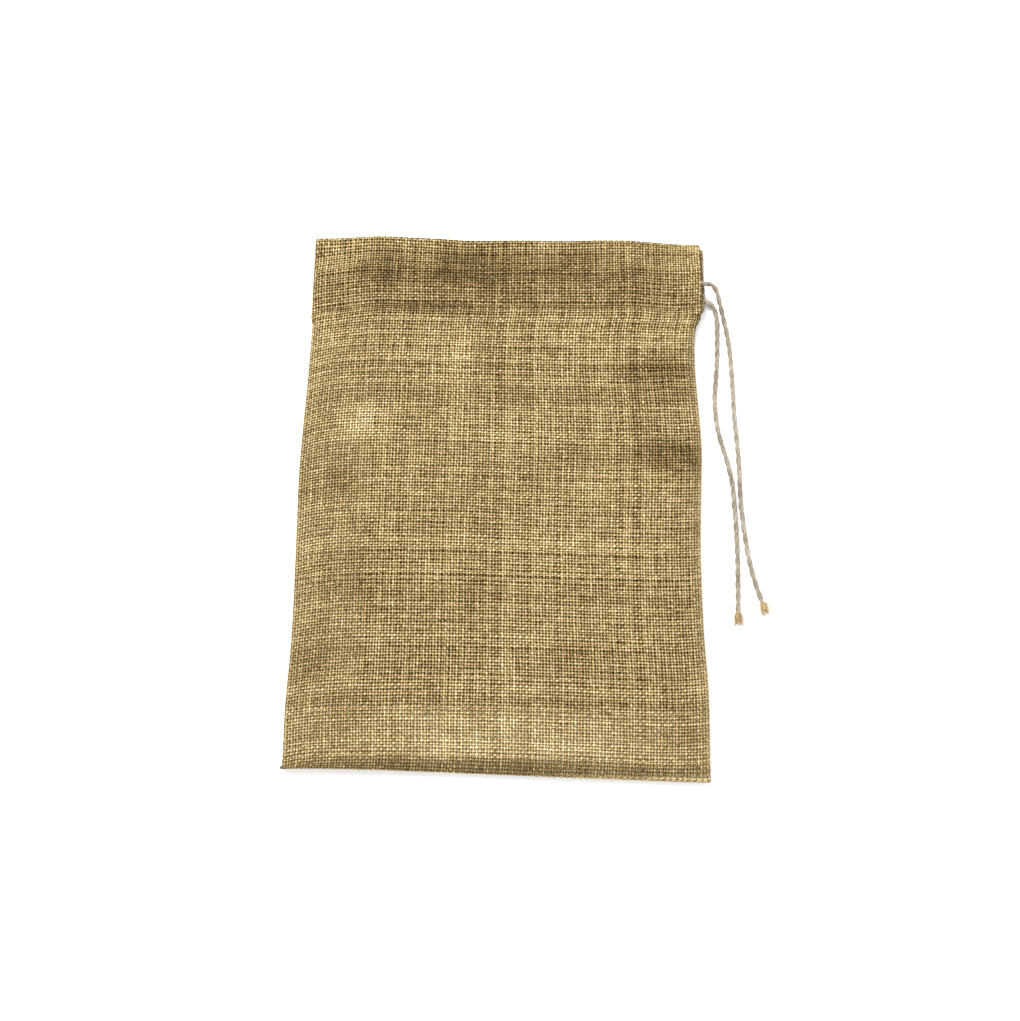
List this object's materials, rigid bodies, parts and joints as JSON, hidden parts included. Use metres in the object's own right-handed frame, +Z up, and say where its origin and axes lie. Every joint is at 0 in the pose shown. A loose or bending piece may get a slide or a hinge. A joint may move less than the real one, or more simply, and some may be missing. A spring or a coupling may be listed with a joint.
{
  "type": "drawstring gift pouch",
  "caption": "Flat drawstring gift pouch in open-weave jute, with a stitched casing at the mouth and a twine drawcord whose two tails leave it on one side.",
  "frame": {"origin": "centre of the pouch's outline, on the surface it lies on", "axes": "+X towards the side the drawcord's tails leave, +Y towards the mouth, +Z up from the surface it lies on"},
  "size_m": [0.2109, 0.2399, 0.0138],
  "materials": {
    "jute": "matte",
    "thread": "matte",
    "twine": "matte",
    "frayed_twine": "matte"
  },
  "bodies": {
    "pouch": {"front_panel": "jute", "back_panel": "jute", "front_casing_stitching": "thread", "back_casing_stitching": "thread", "left_seam_stitching": "thread", "right_seam_stitching": "thread", "bottom_seam_stitching": "thread"},
    "drawcord": {"drawcord_in_casing": "twine", "upper_tail": "twine", "lower_tail": "twine", "upper_tail_tip": "frayed_twine", "lower_tail_tip": "frayed_twine"}
  },
  "joints": [
    {"name": "drawcord_pull", "type": "slide", "parent": "pouch", "child": "drawcord", "axis": [1, 0, 0], "range_m": [0, 0.1], "deforming": ["front_panel", "back_panel", "front_casing_stitching", "back_casing_stitching", "left_seam_stitching"]}
  ]
}
